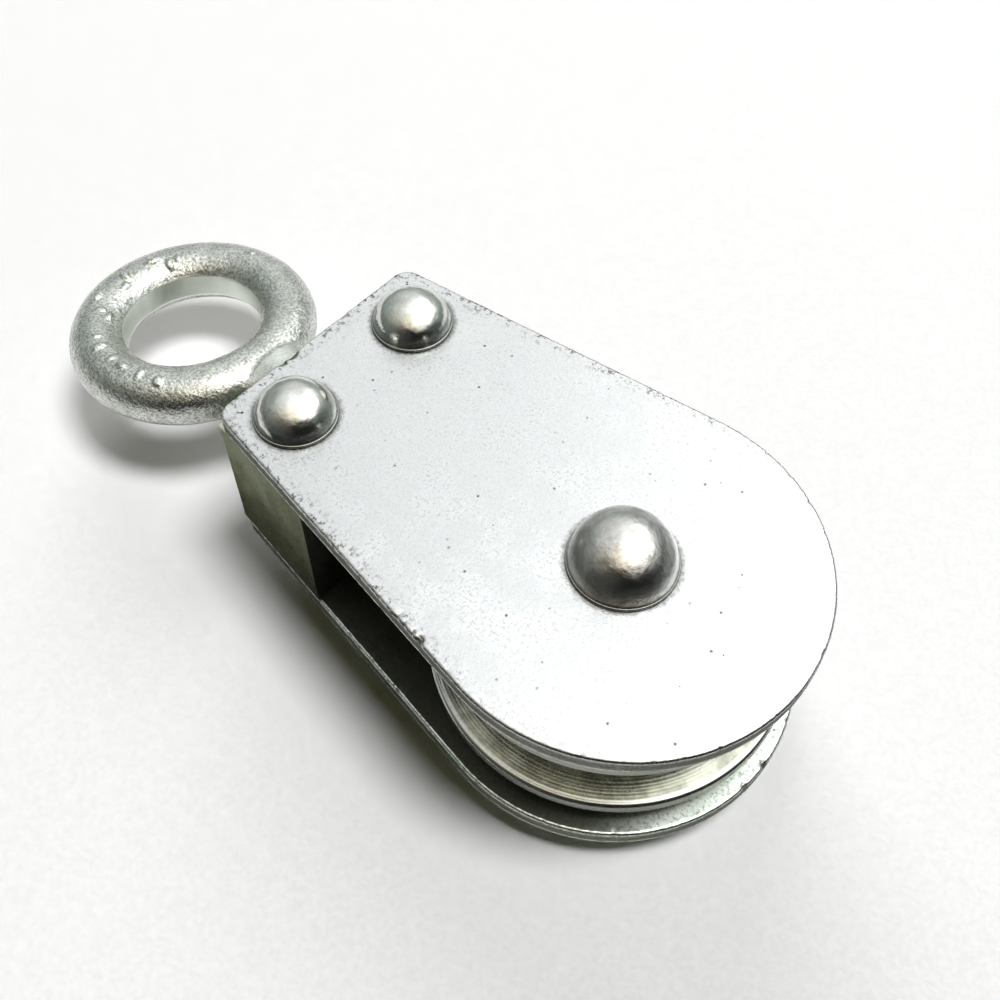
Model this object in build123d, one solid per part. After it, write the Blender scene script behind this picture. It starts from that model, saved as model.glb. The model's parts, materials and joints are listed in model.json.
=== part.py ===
from build123d import *
import math
import os

# A single-sheave pulley block for wire rope, lying flat. Two cheek plates are riveted to a head block
# and to the axle. The sheave runs between them, and an eye swivels in the head.
# Millimetres. The origin is the sheave's centre, on the axle's axis, midway between the cheeks.
# +Z is the axle's axis, and +X points from the axle to the eye.

# Cheek plates
CHEEK_RADIUS = 25.4           # round end, about the axle
CHEEK_REACH = 53.0            # axle to the straight end
CHEEK_END_WIDTH = 35.2        # across the straight end, corners taken as sharp
CHEEK_CORNER_RADIUS = 2.5
CHEEK_THICKNESS = 2.6
CHEEK_ROLLOVER = 0.45         # sheared edge, rounded over on the upper side of both plates
CHEEK_GAP = 20.7              # between the inner faces

# Head block, between the cheeks at their straight end
HEAD_LENGTH = 18.6
HEAD_CORNER_RADIUS = 0.6
HEAD_WALL = 12.5              # solid depth that the eye's shank passes through
HEAD_EDGE_BREAK = 0.3

# Head rivets, one each side of the shank
HEAD_RIVET_DIAMETER = 6.35
HEAD_RIVET_SETBACK = 8.0      # the two rivets' line, back from the straight end
HEAD_RIVET_SPACING = 21.6
HEAD_RIVET_HEAD_DIAMETER = 11.2
HEAD_RIVET_HEAD_HEIGHT = 4.76
HEAD_RIVET_BRIM_STEP = 0.45   # how far the brim stands out past its dome

# Axle rivet, with a taller made head above and a lower set head below
AXLE_DIAMETER = 7.94
AXLE_HEAD_DIAMETER = 13.9
AXLE_HEAD_HEIGHT = 6.6
AXLE_TAIL_HEIGHT = 4.76
AXLE_BRIM_STEP = 0.15

BRIM_THICKNESS = 0.4          # under every rivet head

# Axle sleeve, bushing and thrust washers
SLEEVE_WALL = 1.6
BUSHING_WALL = 1.5
THRUST_WASHER_DIAMETER = 21.0
THRUST_WASHER_THICKNESS = 0.8

# Sheave
SHEAVE_DIAMETER = 47.5
TREAD_DIAMETER = 30.0         # at the bottom of the groove
ROPE_GROOVE_RADIUS = 3.4      # for 6.3 mm wire rope
RIM_WIDTH = 14.6              # over both flanges
FLANGE_LAND = 2.3             # width of one flange's rim
RIM_EDGE_RADIUS = 0.7
HUB_DIAMETER = 23.0
WEB_FILLET = 1.5

# Swivel eye
EYE_HOLE_DIAMETER = 20.8
EYE_BAR_DIAMETER = 8.8
EYE_LAND_WIDTH = 3.6          # trimmed band round the inside of the hole
NECK_LENGTH = 4.8             # collar to the ring's outside
NECK_DIAMETER = 9.6           # at the collar
NECK_WAIST_WIDTH = 10.2       # half way along the neck
NECK_WAIST_HEIGHT = 9.0
NECK_FLARE_WIDTH = 19.0       # where the neck ends, inside the ring's bar
NECK_FLARE_HEIGHT = 7.6
FLARE_DEPTH = 0.9             # how far in that is, in bar radii
COLLAR_DIAMETER = 13.6
COLLAR_THICKNESS = 2.0
SHANK_DIAMETER = 9.0
SWIVEL_WASHER_DIAMETER = 15.0
SWIVEL_WASHER_THICKNESS = 1.6
UPSET_DIAMETER = 12.4         # shank's end, upset over the washer
UPSET_HEIGHT = 3.6

# How the loose eye lies in the play of its hole, in degrees. All three at 0 hold it straight.
EYE_DROOP = 5.8
EYE_SIDE_LEAN = 4.3
EYE_TURN = 3.5

# Clearances
RIVET_FIT = 0.05              # radial, rivets in their holes
RUNNING_FIT = 0.05            # radial, bushing on the sleeve
SEAT_FIT = 0.02               # radial, pieces that are pressed together
WASHER_FIT = 0.3              # radial, loose washers on what they go round
SIDE_CLEARANCE = 0.25         # hub to thrust washer
SHANK_PLAY = 0.25             # shank, collar and washer to the head, besides the lean

# Derived places
half_gap = CHEEK_GAP / 2
outer_face = half_gap + CHEEK_THICKNESS
sleeve_radius = AXLE_DIAMETER / 2 + RIVET_FIT + SLEEVE_WALL
bushing_inner_radius = sleeve_radius + RUNNING_FIT
bushing_outer_radius = bushing_inner_radius + BUSHING_WALL
hub_width = CHEEK_GAP - 2 * (THRUST_WASHER_THICKNESS + SIDE_CLEARANCE)
head_inner_end = CHEEK_REACH - HEAD_LENGTH
pocket_floor = CHEEK_REACH - HEAD_WALL

# The eye is drawn straight along X from the pivot, which is the middle of the head's wall.
pivot_x = CHEEK_REACH - HEAD_WALL / 2
lean = math.acos(math.cos(math.radians(EYE_DROOP)) * math.cos(math.radians(EYE_SIDE_LEAN)))
shank_hole_radius = (
    (SHANK_DIAMETER / 2) / math.cos(lean) + HEAD_WALL / 2 * math.tan(lean) + SHANK_PLAY
)


def bearing_distance(diameter):
    """From the pivot to a leaning flange's face, so that its rim just clears the head's wall."""
    rim_swing = diameter / 2 * math.tan(lean)
    return (HEAD_WALL / 2 + SHANK_PLAY) / math.cos(lean) + rim_swing


collar_face = bearing_distance(COLLAR_DIAMETER)
collar_top = collar_face + COLLAR_THICKNESS
washer_face = -bearing_distance(SWIVEL_WASHER_DIAMETER)
upset_face = washer_face - SWIVEL_WASHER_THICKNESS
shank_end = upset_face - UPSET_HEIGHT
pocket_radius = (
    SWIVEL_WASHER_DIAMETER / 2 * math.cos(lean) + abs(shank_end) * math.sin(lean) + SHANK_PLAY
)
ring_radius = EYE_HOLE_DIAMETER / 2 + math.sqrt((EYE_BAR_DIAMETER / 2) ** 2 - (EYE_LAND_WIDTH / 2) ** 2)
eye_centre = collar_top + NECK_LENGTH + ring_radius + EYE_BAR_DIAMETER / 2


def cheek_outline():
    """Round end and straight end, joined by lines tangent to the round end."""
    half_end = CHEEK_END_WIDTH / 2
    corner_distance = math.hypot(CHEEK_REACH, half_end)
    tangent_angle = math.atan2(half_end, CHEEK_REACH) + math.acos(CHEEK_RADIUS / corner_distance)
    tangent_x = CHEEK_RADIUS * math.cos(tangent_angle)
    tangent_y = CHEEK_RADIUS * math.sin(tangent_angle)
    with BuildSketch() as outline:
        with BuildLine():
            Polyline(
                (tangent_x, -tangent_y),
                (CHEEK_REACH, -half_end),
                (CHEEK_REACH, half_end),
                (tangent_x, tangent_y),
            )
            ThreePointArc((tangent_x, tangent_y), (-CHEEK_RADIUS, 0), (tangent_x, -tangent_y))
        make_face()
    return outline.sketch


def head_rivet_places():
    line_x = CHEEK_REACH - HEAD_RIVET_SETBACK
    return [(line_x, side * HEAD_RIVET_SPACING / 2) for side in (-1, 1)]


def rivet_hole(diameter):
    from_below = (Align.CENTER, Align.CENTER, Align.MIN)
    return Cylinder(diameter / 2 + RIVET_FIT, CHEEK_THICKNESS, align=from_below)


def cheek(height):
    """One plate, its lower face at a height. Both come off the same die and lie the same way up."""
    outline = cheek_outline()
    outline = fillet(outline.vertices().sort_by(Axis.X)[-2:], CHEEK_CORNER_RADIUS)
    plate = extrude(outline, CHEEK_THICKNESS)
    plate = fillet(plate.faces().sort_by(Axis.Z)[-1].edges(), CHEEK_ROLLOVER)
    holes = [rivet_hole(AXLE_DIAMETER)]
    for x, y in head_rivet_places():
        holes.append(Pos(x, y, 0) * rivet_hole(HEAD_RIVET_DIAMETER))
    return Pos(0, 0, height) * (plate - holes)


def upper_cheek():
    return cheek(half_gap)


def lower_cheek():
    return cheek(-outer_face)


def head_block():
    """Fills the cheeks' straight end. The shank's hole opens into a round pocket towards the sheave."""
    outline = cheek_outline()
    keep = Pos(CHEEK_REACH - HEAD_LENGTH / 2, 0) * Rectangle(HEAD_LENGTH, 4 * CHEEK_RADIUS)
    outline = outline & keep
    outline = fillet(outline.vertices().sort_by(Axis.X)[-2:], HEAD_CORNER_RADIUS)
    block = extrude(Pos(0, 0, -half_gap) * outline, CHEEK_GAP)
    along_x = Rotation(0, 90, 0)
    middle = Pos(pivot_x, 0, 0) * along_x
    block -= middle * Cylinder(shank_hole_radius, HEAD_WALL)
    pocket_depth = HEAD_LENGTH - HEAD_WALL
    block -= Pos(pocket_floor - pocket_depth / 2, 0, 0) * along_x * Cylinder(pocket_radius, pocket_depth)
    for x, y in head_rivet_places():
        block -= Pos(x, y, 0) * Cylinder(HEAD_RIVET_DIAMETER / 2 + RIVET_FIT, CHEEK_GAP)
    mouths = [
        edge
        for edge in block.edges().filter_by(GeomType.CIRCLE)
        if min(abs(edge.arc_center.X - end) for end in (CHEEK_REACH, head_inner_end)) < SEAT_FIT
    ]
    return chamfer(mouths, HEAD_EDGE_BREAK)


def head_profile(head_diameter, head_height, brim_step, face, way):
    """Half section of a button head on a face: a brim, then a dome. way is 1 for up and -1 for down."""
    rim = head_diameter / 2
    dome = rim - brim_step
    dome_height = head_height - BRIM_THICKNESS
    dome_radius = (dome**2 + dome_height**2) / (2 * dome_height)
    slope = math.asin(dome / dome_radius) / 2
    crown = face + way * head_height
    centre = crown - way * dome_radius
    shoulder = face + way * BRIM_THICKNESS
    half_way = (dome_radius * math.sin(slope), centre + way * dome_radius * math.cos(slope))
    with BuildSketch(Plane.XZ) as section:
        with BuildLine():
            Polyline((0, crown), (0, face), (rim, face), (rim, shoulder), (dome, shoulder))
            ThreePointArc((dome, shoulder), half_way, (0, crown))
        make_face()
    return section.sketch


def rivet(shaft_diameter, head_diameter, made_height, set_height, brim_step):
    shaft = Cylinder(shaft_diameter / 2, 2 * outer_face)
    made_head = head_profile(head_diameter, made_height, brim_step, outer_face, 1)
    set_head = head_profile(head_diameter, set_height, brim_step, -outer_face, -1)
    return shaft + revolve(made_head, Axis.Z) + revolve(set_head, Axis.Z)


def head_rivets():
    one = rivet(
        HEAD_RIVET_DIAMETER,
        HEAD_RIVET_HEAD_DIAMETER,
        HEAD_RIVET_HEAD_HEIGHT,
        HEAD_RIVET_HEAD_HEIGHT,
        HEAD_RIVET_BRIM_STEP,
    )
    return Compound([Pos(x, y, 0) * one for x, y in head_rivet_places()])


def axle_rivet():
    return rivet(AXLE_DIAMETER, AXLE_HEAD_DIAMETER, AXLE_HEAD_HEIGHT, AXLE_TAIL_HEIGHT, AXLE_BRIM_STEP)


def ring_of(inner_radius, outer_radius, height):
    return Cylinder(outer_radius, height) - Cylinder(inner_radius, height)


def axle_sleeve():
    """Keeps the cheeks apart, so that setting the rivet doesn't clamp the sheave."""
    return ring_of(AXLE_DIAMETER / 2 + RIVET_FIT, sleeve_radius, CHEEK_GAP)


def sheave_bushing():
    return ring_of(bushing_inner_radius, bushing_outer_radius, hub_width)


def thrust_washer(side):
    middle = side * (half_gap - THRUST_WASHER_THICKNESS / 2)
    inner_radius = sleeve_radius + WASHER_FIT
    return Pos(0, 0, middle) * ring_of(inner_radius, THRUST_WASHER_DIAMETER / 2, THRUST_WASHER_THICKNESS)


def sheave():
    """One revolved section: hub, web, two flanges and a groove whose flanks are tangent to its bottom."""
    rim = SHEAVE_DIAMETER / 2
    tread = TREAD_DIAMETER / 2
    mouth = RIM_WIDTH / 2 - FLANGE_LAND
    centre = tread + ROPE_GROOVE_RADIUS
    mouth_distance = math.hypot(rim - centre, mouth)
    flank_angle = math.acos(ROPE_GROOVE_RADIUS / mouth_distance)
    toward_mouth = math.atan2(mouth, rim - centre)
    tangent_x = centre + ROPE_GROOVE_RADIUS * math.cos(toward_mouth + flank_angle)
    tangent_z = ROPE_GROOVE_RADIUS * math.sin(toward_mouth + flank_angle)
    bore = bushing_outer_radius + SEAT_FIT
    hub = HUB_DIAMETER / 2
    with BuildSketch(Plane.XZ) as section:
        with BuildLine():
            Polyline(
                (tangent_x, tangent_z),
                (rim, mouth),
                (rim, RIM_WIDTH / 2),
                (hub, RIM_WIDTH / 2),
                (hub, hub_width / 2),
                (bore, hub_width / 2),
                (bore, -hub_width / 2),
                (hub, -hub_width / 2),
                (hub, -RIM_WIDTH / 2),
                (rim, -RIM_WIDTH / 2),
                (rim, -mouth),
                (tangent_x, -tangent_z),
            )
            ThreePointArc((tangent_x, -tangent_z), (tread, 0), (tangent_x, tangent_z))
        make_face()
        rims = section.vertices().filter_by(lambda v: abs(v.X - rim) < SEAT_FIT)
        fillet(rims, RIM_EDGE_RADIUS)
        roots = section.vertices().filter_by(
            lambda v: abs(v.X - hub) < SEAT_FIT and abs(v.Y) < RIM_WIDTH / 2 + SEAT_FIT
        )
        fillet(roots, min(WEB_FILLET, (hub_width - RIM_WIDTH) / 2 - SEAT_FIT))
    return revolve(section.sketch, Axis.Z)


def eye_place():
    """From the eye's own straight frame to where it rests: turned, side-leaning and drooping."""
    return (
        Pos(pivot_x, 0, 0)
        * Rot(0, 0, EYE_SIDE_LEAN)
        * Rot(0, EYE_DROOP, 0)
        * Rot(EYE_TURN, 0, 0)
    )


def eye_ring():
    """A round bar bent to a ring, with a flat band trimmed round the inside of its hole."""
    bar = EYE_BAR_DIAMETER / 2
    with BuildSketch(Plane.XZ) as section:
        with Locations((ring_radius, 0)):
            Circle(bar)
        with Locations((EYE_HOLE_DIAMETER / 2, 0)):
            Rectangle(2 * bar, 2 * bar, align=(Align.MAX, Align.CENTER), mode=Mode.SUBTRACT)
    return Pos(eye_centre, 0, 0) * revolve(section.sketch, Axis.Z)


def eye_neck():
    """Lofted from the collar's round top to a wide flat oval inside the ring's bar."""
    bar = EYE_BAR_DIAMETER / 2
    root = collar_top + NECK_LENGTH
    across = Plane(origin=(0, 0, 0), x_dir=(0, 1, 0), z_dir=(1, 0, 0))
    sections = [
        across.offset(collar_top) * Circle(NECK_DIAMETER / 2),
        across.offset(collar_top + NECK_LENGTH / 2) * Ellipse(NECK_WAIST_WIDTH / 2, NECK_WAIST_HEIGHT / 2),
        across.offset(root + bar * FLARE_DEPTH) * Ellipse(NECK_FLARE_WIDTH / 2, NECK_FLARE_HEIGHT / 2),
    ]
    return loft(sections)


def eye_shank():
    """Collar, shank and upset end, turned about the swivel axis."""
    collar = COLLAR_DIAMETER / 2
    shank = SHANK_DIAMETER / 2
    upset = UPSET_DIAMETER / 2
    upset_rise = UPSET_HEIGHT / 2
    with BuildSketch(Plane.XY) as section:
        with BuildLine():
            Polyline(
                (shank_end, 0),
                (collar_top, 0),
                (collar_top, collar),
                (collar_face, collar),
                (collar_face, shank),
                (upset_face, shank),
                (upset_face, upset),
                (upset_face - upset_rise, upset),
            )
            Spline(
                (upset_face - upset_rise, upset),
                (shank_end, 0),
                tangents=[(-1, 0), (0, -1)],
            )
        make_face()
        collar_rims = section.vertices().filter_by(lambda v: abs(v.Y - collar) < SEAT_FIT)
        fillet(collar_rims, COLLAR_THICKNESS / 4)
    return revolve(section.sketch, Axis.X)


def swivel_eye():
    return eye_place() * (eye_ring() + eye_neck() + eye_shank())


def swivel_washer():
    washer = ring_of(
        SHANK_DIAMETER / 2 + WASHER_FIT, SWIVEL_WASHER_DIAMETER / 2, SWIVEL_WASHER_THICKNESS
    )
    middle = (washer_face + upset_face) / 2
    return eye_place() * Pos(middle, 0, 0) * Rotation(0, 90, 0) * washer


nodes = {
    "upper_cheek": upper_cheek(),
    "lower_cheek": lower_cheek(),
    "head_block": head_block(),
    "head_rivets": head_rivets(),
    "axle_rivet": axle_rivet(),
    "axle_sleeve": axle_sleeve(),
    "sheave": sheave(),
    "sheave_bushing": sheave_bushing(),
    "upper_thrust_washer": thrust_washer(1),
    "lower_thrust_washer": thrust_washer(-1),
    "swivel_eye": swivel_eye(),
    "swivel_washer": swivel_washer(),
}
os.makedirs("parts", exist_ok=True)
for name, solid in nodes.items():
    export_step(solid, f"parts/{name}.step")
pivot = eye_place().position
print("swivel axis through", pivot, "along", (eye_place() * Pos(1, 0, 0)).position - pivot)
print("eye hole at", (eye_place() * Pos(eye_centre, 0, 0)).position)
print("eye hole along", (eye_place() * Pos(0, 0, 1)).position - pivot)
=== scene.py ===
import json
import math
import random

import bmesh
import bpy
import numpy as np
from mathutils import Matrix, Vector, noise


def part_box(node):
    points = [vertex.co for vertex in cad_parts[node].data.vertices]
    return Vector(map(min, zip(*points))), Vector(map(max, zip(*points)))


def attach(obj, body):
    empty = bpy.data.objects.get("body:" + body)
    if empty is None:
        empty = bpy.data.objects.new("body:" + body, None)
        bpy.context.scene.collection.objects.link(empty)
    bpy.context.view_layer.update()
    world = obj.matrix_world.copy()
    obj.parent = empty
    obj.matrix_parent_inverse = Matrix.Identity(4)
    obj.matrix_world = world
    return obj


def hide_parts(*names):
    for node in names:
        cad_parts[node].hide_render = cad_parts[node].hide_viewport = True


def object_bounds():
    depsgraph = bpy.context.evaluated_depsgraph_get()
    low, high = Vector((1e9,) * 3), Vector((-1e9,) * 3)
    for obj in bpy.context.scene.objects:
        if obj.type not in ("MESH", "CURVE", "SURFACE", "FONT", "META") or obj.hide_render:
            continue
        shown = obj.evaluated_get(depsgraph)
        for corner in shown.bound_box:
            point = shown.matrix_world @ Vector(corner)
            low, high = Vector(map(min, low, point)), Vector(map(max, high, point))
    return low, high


# Looks for a single-sheave pulley block with a swivel eye.
# The part's own lengths are in millimetres until a mesh is made. The studio's are in metres.
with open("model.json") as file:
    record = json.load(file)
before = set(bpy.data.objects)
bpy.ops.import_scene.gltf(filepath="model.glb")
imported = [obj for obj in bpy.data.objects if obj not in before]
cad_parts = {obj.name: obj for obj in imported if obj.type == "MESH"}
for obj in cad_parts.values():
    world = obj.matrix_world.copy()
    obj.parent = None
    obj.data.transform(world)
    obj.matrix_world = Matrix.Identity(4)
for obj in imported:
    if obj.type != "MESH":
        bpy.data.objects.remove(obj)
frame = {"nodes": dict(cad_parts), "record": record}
cad_low, cad_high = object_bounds()
MM = 0.001


def box_mm(node):
    low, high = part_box(node)
    return np.array(low) / MM, np.array(high) / MM


upper_low, upper_high = box_mm("upper_cheek")
CHEEK_RADIUS = -upper_low[0]
CHEEK_REACH = upper_high[0]
CHEEK_THICKNESS = upper_high[2] - upper_low[2]
OUTER_FACE = upper_high[2]
CHEEK_END_WIDTH = 35.2  # across the straight end, corners taken as sharp
CHEEK_CORNER_RADIUS = 2.5
CHEEK_ROLLOVER = 0.45  # sheared edge, rounded over on the upper side
WEAR_REACH = 2.8  # how far in from a cheek's edge its wear goes
FLOOR_Z = cad_low[2] / MM


def rivet_places():
    """(x, y) and head radius of the three rivets: the axle's, then the head's two."""
    low, high = box_mm("head_rivets")
    head = (high[0] - low[0]) / 2
    x = (high[0] + low[0]) / 2
    y = high[1] - head
    return [(0.0, 0.0, box_mm("axle_rivet")[1][0]), (x, y, head), (x, -y, head)]


RIVET_PLACES = rivet_places()
RIVET_SHAFTS = (3.97, 3.175, 3.175)
RIVET_HOLE_PLAY = 0.05
BRIM_THICKNESS = 0.4


# ---------------------------------------------------------------- meshes


def make_piece(name, points, faces, body, material, replaced, sharp_angle=40):
    """A new mesh object from points in millimetres, in place of a CAD node."""
    mesh = bpy.data.meshes.new(name)
    mesh.from_pydata([tuple(c * MM for c in p) for p in points], [], faces)
    mesh.validate()
    finish_piece(name, mesh, body, material, replaced, sharp_angle)


def finish_piece(name, mesh, body, material, replaced, sharp_angle):
    """Shades a mesh smooth up to sharp_angle, and rides it on its body and swaps it in for a CAD node."""
    mesh.polygons.foreach_set("use_smooth", [True] * len(mesh.polygons))
    mesh.set_sharp_from_angle(angle=math.radians(sharp_angle))
    mesh.materials.clear()
    mesh.materials.append(material)
    piece = bpy.data.objects.new(name, mesh)
    bpy.context.scene.collection.objects.link(piece)
    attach(piece, body)
    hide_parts(replaced)


def lathe(profile, segments, closed):
    """Turns (radius, height) points about Z. A point on the axis becomes one vertex."""
    points, rings = [], []
    for radius, height in profile:
        if radius < 1e-6:
            rings.append([len(points)])
            points.append((0.0, 0.0, height))
            continue
        rings.append(list(range(len(points), len(points) + segments)))
        for k in range(segments):
            angle = 2 * math.pi * k / segments
            points.append((radius * math.cos(angle), radius * math.sin(angle), height))
    faces = []
    pairs = list(zip(rings, rings[1:]))
    if closed:
        pairs.append((rings[-1], rings[0]))
    for upper, lower in pairs:
        for k in range(segments):
            m = (k + 1) % segments
            if len(upper) == 1:
                faces.append((upper[0], lower[k], lower[m]))
            elif len(lower) == 1:
                faces.append((upper[m], upper[k], lower[0]))
            else:
                faces.append((upper[m], upper[k], lower[k], lower[m]))
    return points, faces


def grain(point, size, seed=0.0):
    """Smooth noise in -1..1 with features of that size."""
    return noise.noise(Vector(point) / size + Vector((seed, 1.7 * seed, -seed)))


# ---------------------------------------------------------------- node materials


def rgb(r, g, b):
    return (r, g, b, 1.0)


def empty_tree(owner):
    """The owner's node tree, with nothing in it."""
    owner.use_nodes = True
    owner.node_tree.nodes.clear()
    return owner.node_tree


def add_node(tree, kind, **settings):
    made = tree.nodes.new(kind)
    for key, value in settings.items():
        setattr(made, key, value)
    return made


class Shader:
    """Builds one node material, with a Principled surface and object coordinates in millimetres."""

    def __init__(self, name):
        self.material = bpy.data.materials.new(name)
        self.tree = empty_tree(self.material)
        output = self.node("ShaderNodeOutputMaterial")
        self.surface = self.node("ShaderNodeBsdfPrincipled")
        self.link(self.surface.outputs[0], output.inputs["Surface"])
        coordinates = self.node("ShaderNodeTexCoord")
        scale = self.node("ShaderNodeVectorMath", operation="SCALE")
        scale.inputs["Scale"].default_value = 1 / MM
        self.link(coordinates.outputs["Object"], scale.inputs[0])
        self.mm = scale.outputs[0]
        self.bumps = None

    def node(self, kind, **settings):
        return add_node(self.tree, kind, **settings)

    def link(self, source, target):
        if isinstance(source, (int, float, tuple)):
            target.default_value = source
        else:
            self.tree.links.new(source, target)

    def noise(self, size, detail=2.0, roughness=0.5, vector=None, distortion=0.0):
        made = self.node("ShaderNodeTexNoise")
        self.link(vector or self.mm, made.inputs["Vector"])
        made.inputs["Scale"].default_value = 1 / size
        made.inputs["Detail"].default_value = detail
        made.inputs["Roughness"].default_value = roughness
        made.inputs["Distortion"].default_value = distortion
        return made.outputs["Fac"]

    def cells(self, size):
        """Distance to the nearest of scattered points, in cells of that size."""
        made = self.node("ShaderNodeTexVoronoi")
        self.link(self.mm, made.inputs["Vector"])
        made.inputs["Scale"].default_value = 1 / size
        return made.outputs["Distance"]

    def ramp(self, value, low, high, from_value=0.0, to_value=1.0):
        """from_value at low to to_value at high, with soft ends."""
        made = self.node("ShaderNodeMapRange", interpolation_type="SMOOTHSTEP")
        self.link(value, made.inputs["Value"])
        made.inputs["From Min"].default_value = low
        made.inputs["From Max"].default_value = high
        made.inputs["To Min"].default_value = from_value
        made.inputs["To Max"].default_value = to_value
        return made.outputs["Result"]

    def math(self, operation, a, b=0.0):
        made = self.node("ShaderNodeMath", operation=operation)
        self.link(a, made.inputs[0])
        self.link(b, made.inputs[1])
        return made.outputs[0]

    def mix(self, factor, a, b):
        made = self.node("ShaderNodeMix", data_type="RGBA")
        self.link(factor, made.inputs["Factor"])
        self.link(a, made.inputs["A"])
        self.link(b, made.inputs["B"])
        return made.outputs["Result"]

    def attribute(self, name):
        return self.node("ShaderNodeAttribute", attribute_name=name).outputs["Fac"]

    def bump(self, height, distance_mm):
        """Adds relief of that depth to whatever relief is there already."""
        made = self.node("ShaderNodeBump")
        made.inputs["Strength"].default_value = 1.0
        made.inputs["Distance"].default_value = distance_mm * MM
        self.link(height, made.inputs["Height"])
        if self.bumps:
            self.link(self.bumps, made.inputs["Normal"])
        self.bumps = made.outputs["Normal"]

    def done(self, colour, roughness, dull_edges=False):
        """Finishes a metal. With dull_edges it keeps its own colour where it is seen aslant."""
        self.link(colour, self.surface.inputs["Base Color"])
        if dull_edges:
            self.link(colour, self.surface.inputs["Specular Tint"])
        self.link(roughness, self.surface.inputs["Roughness"])
        self.surface.inputs["Metallic"].default_value = 1.0
        if self.bumps:
            self.link(self.bumps, self.surface.inputs["Normal"])
        return self.material


def plate_zinc(name, light, dark, mark, inside_rough):
    """Zinc on sheared plate: satin, mottled, pitted, dirtier at its edges, with painted shade round the
    rivets' feet and on its inner face away from the round end.
    """
    s = Shader(name)
    clouds = s.noise(5.0, 4, 0.6)
    speckle = s.noise(0.42, 3, 0.65)
    flecks = s.noise(0.9, 2, 0.5, distortion=0.6)
    grime = s.noise(0.55, 4, 0.75)
    worn = s.attribute("wear")
    near_edge = s.attribute("near_edge")
    cut = s.attribute("cut")
    inside = s.attribute("inside")
    colour = s.mix(s.ramp(clouds, 0.35, 0.65), light, dark)
    colour = s.mix(s.ramp(speckle, 0.48, 0.66, 0.0, 0.95), colour, mark)
    pits = s.math("LESS_THAN", s.cells(2.4), 0.075)
    deep_pits = s.math("MULTIPLY", pits, s.ramp(flecks, 0.40, 0.62, 0.0, 0.85))
    colour = s.mix(deep_pits, colour, rgb(0.07, 0.07, 0.06))
    places = s.node("ShaderNodeSeparateXYZ")
    s.link(s.mm, places.inputs[0])
    rim = s.math("MULTIPLY", s.ramp(near_edge, 0.0, 0.9), s.ramp(grime, 0.50, 0.57, 0.0, 0.95))
    rim = s.math("MULTIPLY", rim, s.ramp(places.outputs["X"], -12.0, 22.0, 0.25, 1.0))
    colour = s.mix(s.math("MULTIPLY", rim, s.ramp(flecks, 0.42, 0.58)), colour, rgb(0.07, 0.07, 0.06))
    colour = s.mix(s.ramp(worn, 0.2, 1.0, 0.0, 0.7), colour, rgb(0.12, 0.12, 0.11))
    # Painted shade: a dark ring on the plate round each rivet's foot, where the head shades it.
    for x, y, foot in RIVET_PLACES:
        apart = s.node("ShaderNodeVectorMath", operation="DISTANCE")
        flat = s.node("ShaderNodeVectorMath", operation="MULTIPLY")
        s.link(s.mm, flat.inputs[0])
        flat.inputs[1].default_value = (1.0, 1.0, 0.0)
        s.link(flat.outputs[0], apart.inputs[0])
        apart.inputs[1].default_value = (x, y, 0.0)
        reach = s.math("ADD", apart.outputs["Value"], s.ramp(grime, 0.3, 0.7, -0.25, 0.25))
        colour = s.mix(s.ramp(reach, foot, foot + 0.8, 0.7, 0.0), colour, rgb(0.10, 0.10, 0.09))
    # Painted shade: the inner face darkens away from the round end, into the gap between the plates.
    how_far_in = s.math("SUBTRACT", places.outputs["X"], s.math("MULTIPLY", clouds, 3.0))
    inner_gap_shade = s.ramp(how_far_in, -26.0, -14.0, 0.0, 0.95)
    colour = s.mix(s.math("MULTIPLY", inside, inner_gap_shade), colour, rgb(0.040, 0.042, 0.032))
    # The cut wall is darker: partly its own duller sheared metal, partly painted shade.
    sheared = s.math("MULTIPLY", cut, s.ramp(grime, 0.30, 0.62, 0.98, 0.70))
    colour = s.mix(sheared, colour, rgb(0.23, 0.23, 0.20))
    rough = s.ramp(speckle, 0.3, 0.7, 0.17, 0.30)
    rough = s.math("ADD", rough, s.ramp(clouds, 0.3, 0.7, -0.05, 0.06))
    rough = s.math("ADD", rough, s.math("MULTIPLY", cut, 0.12))
    rough = s.math("ADD", rough, s.math("MULTIPLY", inside, inside_rough))
    s.bump(s.noise(0.6, 3, 0.6), 0.026)
    s.bump(s.noise(2.2, 2, 0.5), 0.02)
    s.bump(s.math("SUBTRACT", 1.0, pits), 0.02)
    return s.done(colour, rough, dull_edges=True)


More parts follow.
